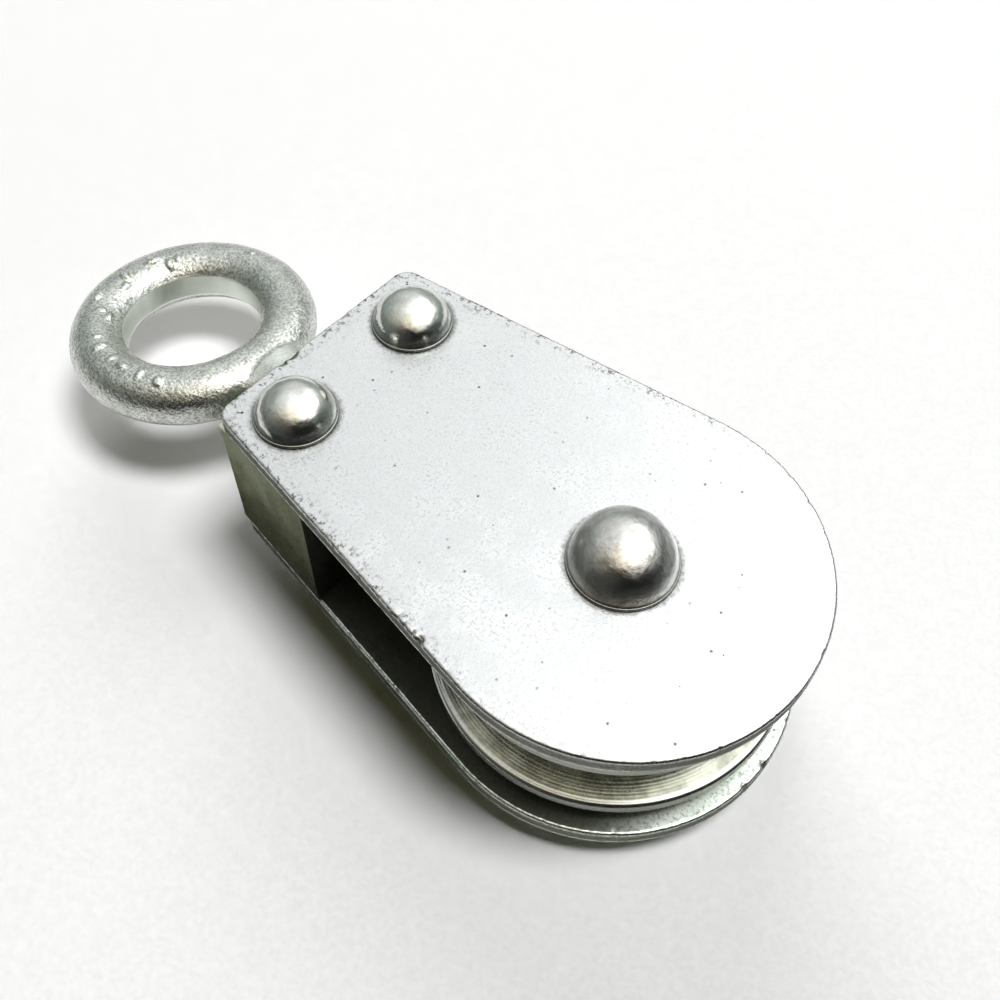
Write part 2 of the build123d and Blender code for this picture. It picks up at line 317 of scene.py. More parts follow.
def rivet_zinc(name, light, dark, scuff_share, base_rough, peen_mm):
    """Bright plated head, scuffed by the rivet set, with small bare marks and painted shade toward its
    foot.
    """
    s = Shader(name)
    clouds = s.noise(2.6, 4, 0.62, distortion=0.8)
    fine = s.noise(0.28, 3, 0.7)
    stretched = s.node("ShaderNodeVectorMath", operation="MULTIPLY")
    s.link(s.mm, stretched.inputs[0])
    stretched.inputs[1].default_value = (1.0, 3.2, 1.0)
    scratches = s.noise(0.5, 4, 0.7, vector=stretched.outputs[0], distortion=1.0)
    scuffs = s.ramp(scratches, 0.62 - scuff_share, 0.74 - scuff_share)
    colour = s.mix(s.ramp(clouds, 0.40, 0.66), light, dark)
    bare = s.math("MULTIPLY", scuffs, s.ramp(fine, 0.42, 0.60, 0.0, 0.5))
    colour = s.mix(bare, colour, rgb(0.30, 0.28, 0.25))
    parts = s.node("ShaderNodeSeparateXYZ")
    s.link(s.mm, parts.inputs[0])
    # Painted shade: the head darkens toward its foot, where it meets the plate.
    above = s.math("SUBTRACT", s.math("ABSOLUTE", parts.outputs["Z"]), OUTER_FACE)
    foot = s.ramp(s.math("ADD", above, s.ramp(fine, 0.3, 0.7, -0.12, 0.12)), 0.25, 1.3, 0.75, 0.0)
    colour = s.mix(foot, colour, rgb(0.16, 0.16, 0.14))
    rough = s.ramp(clouds, 0.35, 0.7, base_rough, base_rough + 0.10)
    rough = s.math("ADD", rough, s.math("MULTIPLY", scuffs, 0.10))
    s.bump(s.noise(0.45, 3, 0.65), peen_mm)
    s.bump(scratches, 0.6 * peen_mm)
    s.bump(s.noise(1.5, 2, 0.5), 0.035)
    return s.done(colour, rough)


def forged_zinc(name):
    """Bright zinc over a forging: coarse orange peel, smoother where the mesh says."""
    s = Shader(name)
    smooth = s.attribute("smooth")
    clouds = s.noise(3.5, 3, 0.55)
    fine = s.noise(0.36, 3, 0.62)
    colour = s.mix(s.ramp(clouds, 0.35, 0.65), rgb(0.72, 0.735, 0.695), rgb(0.57, 0.59, 0.55))
    hollow = s.math("MULTIPLY", s.ramp(fine, 0.56, 0.38, 0.0, 0.75), s.math("SUBTRACT", 1.0, smooth))
    colour = s.mix(hollow, colour, rgb(0.22, 0.22, 0.19))
    colour = s.mix(s.math("MULTIPLY", smooth, 0.55), colour, rgb(0.74, 0.80, 0.71))
    rough = s.math("ADD", s.ramp(fine, 0.3, 0.7, 0.20, 0.12), s.math("MULTIPLY", smooth, 0.16))
    peel = s.math("MULTIPLY", s.math("SUBTRACT", 1.0, s.math("MULTIPLY", smooth, 0.85)), fine)
    s.bump(peel, 0.10)
    s.bump(s.noise(0.24, 2, 0.5), 0.008)
    return s.done(colour, rough)


def turned_steel(name, light, dark, line_mm, rough_low, rough_high):
    """Turned about Z: fine lines that keep to a radius and a height, and brighter rims."""
    s = Shader(name)
    parts = s.node("ShaderNodeSeparateXYZ")
    s.link(s.mm, parts.inputs[0])
    x2 = s.math("MULTIPLY", parts.outputs["X"], parts.outputs["X"])
    y2 = s.math("MULTIPLY", parts.outputs["Y"], parts.outputs["Y"])
    radius = s.math("SQRT", s.math("ADD", x2, y2))
    together = s.node("ShaderNodeCombineXYZ")
    s.link(radius, together.inputs["X"])
    s.link(parts.outputs["Z"], together.inputs["Z"])
    lines = s.noise(line_mm, 3, 0.7, vector=together.outputs[0])
    clouds = s.noise(3.0, 3, 0.6)
    fine = s.noise(0.35, 3, 0.6)
    colour = s.mix(s.ramp(clouds, 0.35, 0.65), light, dark)
    colour = s.mix(s.ramp(lines, 0.50, 0.75, 0.0, 0.40), colour, rgb(0.08, 0.08, 0.055))
    rim = box_mm("sheave")[1][0]
    colour = s.mix(s.ramp(radius, rim - 1.05, rim - 0.55, 0.0, 0.8), colour, rgb(0.50, 0.51, 0.48))
    colour = s.mix(s.ramp(fine, 0.55, 0.75, 0.0, 0.35), colour, rgb(0.22, 0.22, 0.18))
    rough = s.ramp(lines, 0.3, 0.7, rough_low, rough_high)
    rough = s.math("ADD", rough, s.ramp(fine, 0.3, 0.7, -0.03, 0.05))
    s.bump(lines, 0.005)
    s.bump(fine, 0.006)
    return s.done(colour, rough, dull_edges=True)


def plain_metal(name, light, dark, rough_low, rough_high, peel_mm):
    """Small machined or pressed pieces."""
    s = Shader(name)
    clouds = s.noise(4.0, 4, 0.6)
    fine = s.noise(0.5, 4, 0.65)
    colour = s.mix(s.ramp(clouds, 0.3, 0.7), light, dark)
    grime = rgb(*(c * 0.45 for c in dark[:3]))
    colour = s.mix(s.ramp(fine, 0.50, 0.78, 0.0, 0.6), colour, grime)
    rough = s.ramp(fine, 0.3, 0.7, rough_low, rough_high)
    s.bump(fine, peel_mm)
    s.bump(s.noise(2.5, 2, 0.5), 0.03)
    return s.done(colour, rough)


def block_zinc(name):
    """Dull plating on the block's cut sides, with painted shade toward the lower cheek and toward the
    sheave.
    """
    s = Shader(name)
    clouds = s.noise(3.0, 4, 0.6)
    fine = s.noise(0.5, 4, 0.65)
    parts = s.node("ShaderNodeSeparateXYZ")
    s.link(s.mm, parts.inputs[0])
    # Painted shade: darker toward the bottom, by the lower cheek.
    height = s.math("ADD", parts.outputs["Z"], s.ramp(clouds, 0.3, 0.7, -3.0, 3.0))
    colour = s.mix(s.ramp(height, -8.0, 10.0), rgb(0.16, 0.165, 0.130), rgb(0.34, 0.355, 0.285))
    # Painted shade: darker at the inner end, toward the sheave.
    colour = s.mix(s.ramp(parts.outputs["X"], 34.0, 45.0, 0.28, 0.0), colour, rgb(0.05, 0.055, 0.04))
    colour = s.mix(s.ramp(fine, 0.50, 0.78, 0.0, 0.6), colour, rgb(0.03, 0.03, 0.022))
    rough = s.ramp(fine, 0.3, 0.7, 0.36, 0.50)
    s.bump(fine, 0.02)
    s.bump(s.noise(2.5, 2, 0.5), 0.03)
    return s.done(colour, rough, dull_edges=True)


upper_material = plate_zinc(
    "upper_plate_zinc", rgb(0.61, 0.62, 0.62), rgb(0.49, 0.50, 0.50), rgb(0.42, 0.42, 0.41), 0.0
)
lower_material = plate_zinc(
    "lower_plate_zinc", rgb(0.58, 0.62, 0.58), rgb(0.47, 0.51, 0.46), rgb(0.26, 0.28, 0.24), 0.24
)
head_rivet_material = rivet_zinc(
    "head_rivet_zinc", rgb(0.68, 0.69, 0.66), rgb(0.52, 0.53, 0.49), 0.00, 0.04, 0.016
)
axle_rivet_material = rivet_zinc(
    "axle_rivet_zinc", rgb(0.60, 0.59, 0.57), rgb(0.40, 0.39, 0.37), 0.09, 0.06, 0.034
)
eye_material = forged_zinc("forged_eye_zinc")
sheave_material = turned_steel(
    "turned_sheave_steel", rgb(0.27, 0.275, 0.225), rgb(0.145, 0.150, 0.120), 0.26, 0.15, 0.26
)
block_material = block_zinc("head_block_zinc")
bronze_material = plain_metal(
    "bushing_bronze", rgb(0.66, 0.48, 0.26), rgb(0.52, 0.36, 0.18), 0.28, 0.42, 0.008
)
washer_material = plain_metal(
    "washer_steel", rgb(0.56, 0.56, 0.54), rgb(0.46, 0.46, 0.44), 0.25, 0.38, 0.008
)
sleeve_material = plain_metal(
    "sleeve_steel", rgb(0.50, 0.50, 0.49), rgb(0.40, 0.40, 0.39), 0.22, 0.34, 0.006
)


# ---------------------------------------------------------------- cheek plates


def cheek_outline(step):
    """Points round the plate's edge with their outward normals, from the round end's middle."""
    half_end = CHEEK_END_WIDTH / 2
    end_distance = math.hypot(CHEEK_REACH, half_end)
    tangent = math.atan2(half_end, CHEEK_REACH) + math.acos(CHEEK_RADIUS / end_distance)
    normal = (math.cos(tangent), math.sin(tangent))
    corner_x = CHEEK_REACH - CHEEK_CORNER_RADIUS
    corner_y = (CHEEK_RADIUS - CHEEK_CORNER_RADIUS - normal[0] * corner_x) / normal[1]
    half = []
    count = round((math.pi - tangent) * CHEEK_RADIUS / step)
    for k in range(count + 1):
        angle = math.pi + (tangent - math.pi) * k / count
        nx, ny = math.cos(angle), math.sin(angle)
        half.append((CHEEK_RADIUS * nx, CHEEK_RADIUS * ny, nx, ny))
    start = half[-1]
    end = (corner_x + CHEEK_CORNER_RADIUS * normal[0], corner_y + CHEEK_CORNER_RADIUS * normal[1])
    count = round(math.hypot(end[0] - start[0], end[1] - start[1]) / step)
    for k in range(1, count + 1):
        t = k / count
        half.append((start[0] + (end[0] - start[0]) * t, start[1] + (end[1] - start[1]) * t, *normal))
    count = max(6, round(tangent * CHEEK_CORNER_RADIUS / step))
    for k in range(1, count + 1):
        angle = tangent * (1 - k / count)
        nx, ny = math.cos(angle), math.sin(angle)
        half.append((corner_x + CHEEK_CORNER_RADIUS * nx, corner_y + CHEEK_CORNER_RADIUS * ny, nx, ny))
    count = round(corner_y / step)
    for k in range(1, count + 1):
        half.append((CHEEK_REACH, corner_y * (1 - k / count), 1.0, 0.0))
    other = [(x, -y, nx, -ny) for x, y, nx, ny in reversed(half[1:-1])]
    return half + other


def cheek_sections():
    """(inset, height, how much a nick moves it) from the plate's lower face round to its upper one."""
    rows = [(1.6, 0.0, 0.0), (0.8, 0.0, 0.0), (0.35, 0.0, 0.05), (0.14, 0.0, 0.1), (0.05, 0.04, 0.1)]
    wall_foot, wall_top = 0.13, CHEEK_THICKNESS - CHEEK_ROLLOVER
    for k in range(8):
        height = wall_foot + (wall_top - wall_foot) * k / 7
        rows.append((0.0, height, 0.1 + 0.7 * (k / 7) ** 3))
    for k in range(1, 7):
        angle = math.pi / 2 * k / 6
        inset = CHEEK_ROLLOVER * (1 - math.cos(angle))
        rows.append((inset, wall_top + CHEEK_ROLLOVER * math.sin(angle), 1.0))
    for inset, share in ((0.62, 0.6), (0.85, 0.3), (1.2, 0.1), (1.8, 0.0), (WEAR_REACH, 0.0)):
        rows.append((inset, CHEEK_THICKNESS, share))
    return rows


def nick_depths(outline, seed, known_nicks):
    """How deep the edge is nicked at each point of the outline. A nick is (x, y, depth, width)."""
    random.seed(seed)
    nicks = list(known_nicks)
    for _ in range(110):
        x, y, _nx, _ny = random.choice(outline)
        nicks.append((x, y, 0.02 + 0.10 * random.random() ** 3, random.uniform(0.12, 0.45)))
    depth = []
    for x, y, _nx, _ny in outline:
        total = 0.0
        for at_x, at_y, deep, wide in nicks:
            away = math.hypot(x - at_x, y - at_y) / wide
            if away < 3:
                total = max(total, deep * math.exp(-away * away))
        total += 0.035 * max(0.0, grain((x, y, seed), 0.7) + 0.1)
        depth.append(total)
    return depth


HOLE_CORNERS = 48


def cheek_plate(name, node, inner_height, material, seed, known_nicks):
    """A sheared plate: rolled-over upper edge, burnished and torn bands on the cut, and small nicks."""
    outline = cheek_outline(0.25)
    depth = nick_depths(outline, seed, known_nicks)
    base = box_mm(node)[0][2]
    made = bmesh.new()
    wear = made.verts.layers.float.new("wear")
    near = made.verts.layers.float.new("near_edge")
    cut = made.verts.layers.float.new("cut")
    inside = made.verts.layers.float.new("inside")
    rings = []
    torn_height = 0.42 * CHEEK_THICKNESS
    for inset, height, share in cheek_sections():
        ring = []
        for (x, y, nx, ny), deep in zip(outline, depth):
            move = deep * share
            on_wall = inset == 0.0 and height < CHEEK_THICKNESS
            if on_wall and height < torn_height:
                move += 0.05 + 0.03 * (1 + grain((x * 3, y * 3, height * 0.6), 0.8, seed))
            elif on_wall:
                move += 0.008 * (1 + grain((x * 4, y * 4, height * 0.3), 0.8, seed))
            back = inset + move
            sink = 0.8 * move if height > CHEEK_THICKNESS - CHEEK_ROLLOVER else 0.0
            at_x, at_y, at_z = x - nx * back, y - ny * back, base + height - sink
            vert = made.verts.new((MM * at_x, MM * at_y, MM * at_z))
            vert[wear] = min(1.0, deep * share / 0.14)
            vert[near] = max(0.0, 1 - inset / WEAR_REACH)
            vert[cut] = 1.0 if on_wall and 0.2 < height < CHEEK_THICKNESS - CHEEK_ROLLOVER else 0.0
            vert[inside] = 1.0 if height == inner_height and inset > CHEEK_ROLLOVER - 0.2 else 0.0
            ring.append(vert)
        rings.append(ring)
    count = len(outline)
    for lower, upper in zip(rings, rings[1:]):
        for k in range(count):
            m = (k + 1) % count
            made.faces.new((lower[k], lower[m], upper[m], upper[k]))
    walls = []
    for ring, height in ((rings[0], 0.0), (rings[-1], CHEEK_THICKNESS)):
        edges = [made.edges.get((ring[k], ring[(k + 1) % count])) for k in range(count)]
        loops = []
        for (x, y, _head), shaft in zip(RIVET_PLACES, RIVET_SHAFTS):
            radius = shaft + RIVET_HOLE_PLAY
            loop = []
            for k in range(HOLE_CORNERS):
                angle = 2 * math.pi * k / HOLE_CORNERS
                at_x, at_y = x + radius * math.cos(angle), y + radius * math.sin(angle)
                vert = made.verts.new((MM * at_x, MM * at_y, MM * (base + height)))
                vert[inside] = 1.0 if height == inner_height else 0.0
                loop.append(vert)
            edges += [made.edges.new(pair) for pair in zip(loop, loop[1:] + loop[:1])]
            loops.append(loop)
        bmesh.ops.triangle_fill(made, use_beauty=True, use_dissolve=False, edges=edges)
        walls.append(loops)
    for low_loop, high_loop in zip(*walls):
        for k in range(HOLE_CORNERS):
            m = (k + 1) % HOLE_CORNERS
            made.faces.new((low_loop[k], low_loop[m], high_loop[m], high_loop[k]))
    bmesh.ops.recalc_face_normals(made, faces=made.faces)
    mesh = bpy.data.meshes.new(name)
    made.to_mesh(mesh)
    made.free()
    finish_piece(name, mesh, "frame", material, node, 50)


cheek_plate(
    "upper_cheek_plate",
    "upper_cheek",
    0.0,
    upper_material,
    11,
    [(10.83, 24.2, 0.32, 0.5), (53.0, 4.3, 0.30, 0.9), (53.0, 6.0, 0.2, 0.6), (-17.5, 17.6, 0.15, 0.5)],
)
cheek_plate(
    "lower_cheek_plate",
    "lower_cheek",
    CHEEK_THICKNESS,
    lower_material,
    23,
    [(-25.2, -0.9, 0.3, 0.5), (-25.1, 3.2, 0.2, 0.5)],
)


# ---------------------------------------------------------------- rivets


def head_section(radius, height, brim, step_in, rows):
    """(radius, height above the face) of a button head, from the crown down to the brim's foot."""
    dome = radius - step_in
    dome_height = height - brim
    ball = (dome**2 + dome_height**2) / (2 * dome_height)
    widest = math.asin(dome / ball)
    points = []
    for k in range(rows + 1):
        angle = widest * k / rows
        points.append((ball * math.sin(angle), height - ball + ball * math.cos(angle)))
    for k in range(7):
        angle = math.pi * k / 6
        points.append((radius - 0.14 + 0.14 * math.sin(angle), brim / 2 * (1 + math.cos(angle))))
    return points


def rivet_mesh(place, shaft_radius, made_height, set_height, brim_step, dent, seed):
    """One rivet turned about its own axis, with shallow dents from the set and its handling."""
    x, y, head_radius = place
    made_head = head_section(head_radius, made_height, BRIM_THICKNESS, brim_step, 44)
    set_head = head_section(head_radius, set_height, BRIM_THICKNESS, brim_step, 30)
    top = [(r, OUTER_FACE + z) for r, z in made_head]
    bottom = [(r, -OUTER_FACE - z) for r, z in set_head]
    shaft = [(shaft_radius, OUTER_FACE), (shaft_radius, -OUTER_FACE)]
    points, faces = lathe(top + shaft + bottom[::-1], 128, False)
    moved = []
    for px, py, pz in points:
        if abs(pz) > OUTER_FACE + BRIM_THICKNESS + 0.01:
            bumpy = dent * (0.5 + 0.5 * grain((px, py, pz), 1.7, seed))
            bumpy += 0.4 * dent * (0.5 + 0.5 * grain((px, py, pz), 0.55, seed + 3))
            ball = Vector((px, py, pz - math.copysign(OUTER_FACE, pz)))
            ball = ball * (1 - bumpy / max(ball.length, 1))
            px, py, pz = ball.x, ball.y, ball.z + math.copysign(OUTER_FACE, pz)
        moved.append((px + x, py + y, pz))
    return moved, faces


axle_low, axle_high = box_mm("axle_rivet")
axle_made, axle_set = axle_high[2] - OUTER_FACE, -axle_low[2] - OUTER_FACE
points, faces = rivet_mesh(RIVET_PLACES[0], RIVET_SHAFTS[0], axle_made, axle_set, 0.17, 0.09, 5.0)
make_piece("axle_rivet_set", points, faces, "frame", axle_rivet_material, "axle_rivet")

head_height = box_mm("head_rivets")[1][2] - OUTER_FACE
all_points, all_faces = [], []
for place, seed in zip(RIVET_PLACES[1:], (8.0, 14.0)):
    points, faces = rivet_mesh(place, RIVET_SHAFTS[1], head_height, head_height, 0.20, 0.06, seed)
    start = len(all_points)
    all_points += points
    all_faces += [tuple(v + start for v in f) for f in faces]
make_piece(
    "head_rivets_set", all_points, all_faces, "frame", head_rivet_material, "head_rivets"
)


# ---------------------------------------------------------------- sheave


def sheave_section():
    """The CAD section with the tool marks of its groove and rims cut in, as (radius, height)."""
    rim, _, hub_half = box_mm("sheave")[1]
    tread, ball, rim_half, land, edge = 15.0, 3.4, 7.3, 2.3, 0.7
    hub, bore, root = 11.5, 7.19, 1.5
    groove_rows, flank_rows = 40, 90
    mark_in, mark_along = 0.012, 0.018
    mouth = rim_half - land
    centre = tread + ball
    distance = math.hypot(rim - centre, mouth)
    turn = math.atan2(mouth, rim - centre) + math.acos(ball / distance)
    start = (centre + ball * math.cos(turn), ball * math.sin(turn))
    groove = []
    for k in range(groove_rows + 1):
        angle = math.pi - (math.pi - turn) * k / groove_rows
        groove.append((centre + ball * math.cos(angle), ball * math.sin(angle)))
    run, climb = rim - 0.35 - start[0], mouth - 0.1 - start[1]
    flank = []
    for k in range(1, flank_rows + 1):
        flank.append((start[0] + run * k / flank_rows, start[1] + climb * k / flank_rows))
    upper = []
    for r, z in groove + flank:
        mark = 0.5 + 0.5 * noise.noise(Vector((r * 2.6, z * 2.6, 4.0)))
        mark = mark * 0.75 + 0.25 * (0.5 + 0.5 * math.sin(13.0 * (r + 0.6 * z) + 5.0 * mark))
        upper.append((r - mark_in * mark, z + mark_along * mark))
    upper += [(rim - 0.12, mouth + 0.12), (rim, mouth + 0.35)]
    upper += [(rim - mark_in * (k % 2), mouth + 0.35 + (land - 0.35 - edge) * k / 8) for k in range(1, 9)]
    for k in range(1, 7):
        angle = math.pi / 2 * k / 6
        upper.append((rim - edge * (1 - math.cos(angle)), rim_half - edge * (1 - math.sin(angle))))
    upper += [(rim - edge - 1.0, rim_half), (hub + root + 1.0, rim_half)]
    web = min(root, hub_half - rim_half - 0.02)
    for k in range(7):
        angle = math.pi / 2 * k / 6
        upper.append((hub + web * (1 - math.sin(angle)), rim_half + web * (1 - math.cos(angle))))
    upper += [(hub, hub_half - 0.1), (hub - 0.1, hub_half)]
    upper += [(bore + 0.1, hub_half), (bore, hub_half - 0.1)]
    return [(r, -z) for r, z in reversed(upper[1:])] + upper


points, faces = lathe(sheave_section()[::-1], 300, True)
make_piece("turned_sheave", points, faces, "sheave", sheave_material, "sheave", 30)


# ---------------------------------------------------------------- swivel eye


def named(rows, name):
    """The row of that name in one of the record's lists."""
    return next(row for row in rows if row["name"] == name)


eye_hole = named(frame["record"]["mounts"], "eye_hole")
EYE_CENTRE = Vector(eye_hole["pos_m"]) / MM
EYE_NORMAL = Vector(eye_hole["axis"]).normalized()
EYE_AXIS = Vector(named(frame["record"]["behaviour"]["joints"], "eye_swivel")["axis"]).normalized()
EYE_ACROSS = EYE_NORMAL.cross(EYE_AXIS)
HOLE_RADIUS = eye_hole["dims"]["r_mm"]
BAND_HALF_WIDTH = eye_hole["dims"]["length_mm"] / 2
BAR_RADIUS = 4.4
RING_RADIUS = HOLE_RADIUS + math.sqrt(BAR_RADIUS**2 - BAND_HALF_WIDTH**2)
COLLAR_REACH = 4.0  # the collar and its play, past the straight end
EYE_GRID = 0.23

# Raised forging marks: angle round the ring, angle round the bar, half length, half width, height.
FORGING_MARKS = [
    (-20, 100, 1.3, 0.60, 0.42),
    (-29, 120, 0.6, 1.0, 0.34),
    (-35, 111, 0.4, 0.6, 0.22),
    (2, 98, 0.6, 1.1, 0.40),
    (8, 118, 1.0, 0.50, 0.26),
    (24, 84, 1.0, 0.6, 0.38),
    (36, 104, 0.45, 0.8, 0.24),
    (40, 124, 0.8, 0.50, 0.30),
    (62, 97, 0.4, 0.7, 0.22),
    (72, 92, 0.60, 1.1, 0.34),
    (86, 95, 0.35, 0.9, 0.20),
    (96, 89, 0.70, 0.6, 0.34),
    (109, 86, 0.40, 1.1, 0.24),
    (121, 73, 0.60, 0.8, 0.36),
    (-84, 79, 0.45, 0.5, 0.26),
]


def forged_eye():
    """The CAD eye on a fine even mesh, with the forging's rough skin and marks as real relief."""
    source = frame["nodes"]["swivel_eye"]
    work = bpy.data.objects.new("eye_work", source.data.copy())
    bpy.context.scene.collection.objects.link(work)
    remesh = work.modifiers.new("even", "REMESH")
    remesh.mode = "VOXEL"
    remesh.voxel_size = EYE_GRID * MM
    bpy.context.view_layer.update()
    mesh = bpy.data.meshes.new_from_object(work.evaluated_get(bpy.context.evaluated_depsgraph_get()))
    bpy.data.objects.remove(work)
    count = len(mesh.vertices)
    places = np.empty(count * 3, np.float32)
    mesh.vertices.foreach_get("co", places)
    places = places.reshape(-1, 3).astype(float) / MM
    normals = np.array([tuple(v.normal) for v in mesh.vertices])
    offset = places - np.array(EYE_CENTRE)
    along = offset @ np.array(EYE_AXIS)
    across = offset @ np.array(EYE_ACROSS)
    above = offset @ np.array(EYE_NORMAL)
    reach = np.hypot(along, across)
    round_ring = np.degrees(np.arctan2(across, along))
    round_bar = np.degrees(np.arctan2(above, reach - RING_RADIUS))
    on_bar = np.abs(np.hypot(reach - RING_RADIUS, above) - BAR_RADIUS) < 0.35
    on_band = (reach < HOLE_RADIUS + 0.10) & (np.abs(above) < BAND_HALF_WIDTH + 0.15)
    neck = (along < -RING_RADIUS) & ~on_bar
    inside_head = places[:, 0] < CHEEK_REACH + COLLAR_REACH
    move = np.zeros(count)
    smooth = np.zeros(count)
    smooth[on_band | inside_head] = 1.0
    smooth[neck & ~inside_head] = 0.45
    for angle, tilt, half_long, half_wide, high in FORGING_MARKS:
        turn = (round_ring - angle + 180) % 360 - 180
        roll = (round_bar - tilt + 180) % 360 - 180
        u = np.radians(turn) * RING_RADIUS / half_long
        v = np.radians(roll) * BAR_RADIUS / half_wide
        size = np.sqrt(u * u + v * v)
        rise = np.clip((1.35 - size) / 0.75, 0.0, 1.0)
        move += np.where(on_bar, high * rise * rise * (3 - 2 * rise), 0.0)
    for k in range(count):
        rough = 1.0 - 0.93 * smooth[k]
        point = places[k]
        peel = 0.5 + 0.5 * grain(point, 0.85, 2.0)
        fine = 0.5 + 0.5 * grain(point, 0.42, 6.0)
        wave = 0.5 + 0.5 * grain(point, 4.5, 9.0)
        move[k] -= rough * (0.07 * peel + 0.07 * fine + 0.05 * wave)
    placed = (places + normals * move[:, None]) * MM
    mesh.vertices.foreach_set("co", placed.astype(np.float32).ravel())
    attribute = mesh.attributes.new("smooth", "FLOAT", "POINT")
    attribute.data.foreach_set("value", smooth.astype(np.float32))
    mesh.update()
    finish_piece("forged_eye", mesh, "eye", eye_material, "swivel_eye", 60)


forged_eye()


# ---------------------------------------------------------------- CAD nodes that stay


for node, material in (
    ("head_block", block_material),
    ("axle_sleeve", sleeve_material),
    ("sheave_bushing", bronze_material),
    ("upper_thrust_washer", washer_material),
    ("lower_thrust_washer", washer_material),
    ("swivel_washer", washer_material),
):
    kept = frame["nodes"][node]
    kept.data.materials.clear()
    kept.data.materials.append(material)


# ---------------------------------------------------------------- camera


def place_camera():
    """A hand-held view from above the round end, with a slight roll. Gives its right and away."""
    azimuth, elevation, roll = 2.276214, 0.974760, 0.022581
    distance, target = 0.147915, Vector((0.016639, 0.003218, 0.012950))
    flat = math.cos(elevation)
    back = Vector((flat * math.cos(azimuth), flat * math.sin(azimuth), math.sin(elevation)))
    right = (-back).cross(Vector((0, 0, 1))).normalized()
    up = right.cross(-back)
    image_right = math.cos(roll) * right + math.sin(roll) * up
    image_up = -math.sin(roll) * right + math.cos(roll) * up
    data = bpy.data.cameras.new("camera")
    data.sensor_width = 36.0
    data.lens = 43.364
    data.clip_start, data.clip_end = 0.005, 20.0
    camera = bpy.data.objects.new("camera", data)
    bpy.context.scene.collection.objects.link(camera)
    turn = Matrix((image_right, image_up, back)).transposed()
    camera.matrix_world = Matrix.Translation(target + distance * back) @ turn.to_4x4()
    bpy.context.scene.camera = camera
    return right, Vector((-back.x, -back.y, 0)).normalized()


view_right, view_away = place_camera()


# ---------------------------------------------------------------- studio


LAMP_DISTANCE = 2.0
LAMP_COLOUR = (0.99, 0.995, 1.0)
MIDDLE = Vector((0.02, 0.0, 0.0))


def view_way(azimuth, elevation=0):
    """A unit vector. azimuth 0 is the view's right, and 90 is away from the viewer."""
    a, e = math.radians(azimuth), math.radians(elevation)
    flat = math.cos(a) * view_right + math.sin(a) * view_away
    return math.cos(e) * flat + Vector((0, 0, math.sin(e)))


def soft_lamp(name, azimuth, elevation, width, depth, radiance):
    """An oval soft lamp that faces the object."""
    way = view_way(azimuth, elevation)
    data = bpy.data.lights.new(name, "AREA")
    data.shape = "ELLIPSE"
    data.size, data.size_y = width, depth
    data.energy = radiance * math.pi * (math.pi * width * depth / 4)
    data.color = LAMP_COLOUR
    lamp = bpy.data.objects.new(name, data)
    bpy.context.scene.collection.objects.link(lamp)
    lamp.location = MIDDLE + LAMP_DISTANCE * way
    lamp.rotation_mode = "QUATERNION"
    lamp.rotation_quaternion = way.to_track_quat("Z", "Y")


soft_lamp("overhead_softbox", -13, 74, 0.56, 0.80, 26.0)
soft_lamp("back_softbox", 100, 28, 1.6, 1.0, 5.7)


def any_seen(tree):
    """1 for rays that show a surface, directly or in a gloss, rather than light by it."""
    path = add_node(tree, "ShaderNodeLightPath")
    seen = path.outputs["Is Camera Ray"]
    for name in ("Is Glossy Ray", "Is Transmission Ray"):
        larger = add_node(tree, "ShaderNodeMath", operation="MAXIMUM")
        tree.links.new(seen, larger.inputs[0])
        tree.links.new(path.outputs[name], larger.inputs[1])
        seen = larger.outputs[0]
    return seen


def lit_or_shown(tree, lit, shown):
    """The colour lit where it lights something, and the colour shown where it is seen."""
    level = add_node(tree, "ShaderNodeMix", data_type="RGBA")
    tree.links.new(any_seen(tree), level.inputs["Factor"])
    level.inputs["A"].default_value = lit
    level.inputs["B"].default_value = shown
    return level.outputs["Result"]


def studio_world(lit, shown):
    """An even room: lit is its colour on surfaces, shown its colour behind them and in their gloss."""
    world = bpy.data.worlds.new("studio")
    bpy.context.scene.world = world
    tree = empty_tree(world)
    output = add_node(tree, "ShaderNodeOutputWorld")
    light = add_node(tree, "ShaderNodeBackground")
    tree.links.new(lit_or_shown(tree, lit, shown), light.inputs["Color"])
    tree.links.new(light.outputs[0], output.inputs["Surface"])


studio_world(rgb(0.030, 0.029, 0.012), rgb(1, 1, 1))


def floor_paint():
    """Matt white with a faint grain, seen a little whiter than it lights the object."""
    material = bpy.data.materials.new("floor_white")
    tree = empty_tree(material)
    output = add_node(tree, "ShaderNodeOutputMaterial")
    matt = add_node(tree, "ShaderNodeBsdfDiffuse")
    level = lit_or_shown(tree, rgb(0.80, 0.80, 0.79), rgb(1.04, 1.04, 1.04))
    place = add_node(tree, "ShaderNodeTexCoord")
    fibres = add_node(tree, "ShaderNodeTexNoise")
    fibres.inputs["Scale"].default_value = 1 / (0.6 * MM)
    fibres.inputs["Detail"].default_value = 3.0
    tree.links.new(place.outputs["Object"], fibres.inputs["Vector"])
    shade = add_node(tree, "ShaderNodeMapRange")
    shade.inputs["From Min"].default_value, shade.inputs["From Max"].default_value = 0.3, 0.7
    shade.inputs["To Min"].default_value, shade.inputs["To Max"].default_value = 0.95, 1.05
    tree.links.new(fibres.outputs["Fac"], shade.inputs["Value"])
    grained = add_node(tree, "ShaderNodeVectorMath", operation="SCALE")
    tree.links.new(level, grained.inputs[0])
    tree.links.new(shade.outputs["Result"], grained.inputs["Scale"])
    tree.links.new(grained.outputs[0], matt.inputs["Color"])
    tree.links.new(matt.outputs[0], output.inputs["Surface"])
    return material


def stage_object(name, mesh, material):
    """A staging object of that mesh, kept apart from the part."""
    mesh.materials.append(material)
    made = bpy.data.objects.new(name, mesh)
    bpy.context.scene.collection.objects.link(made)
    return made


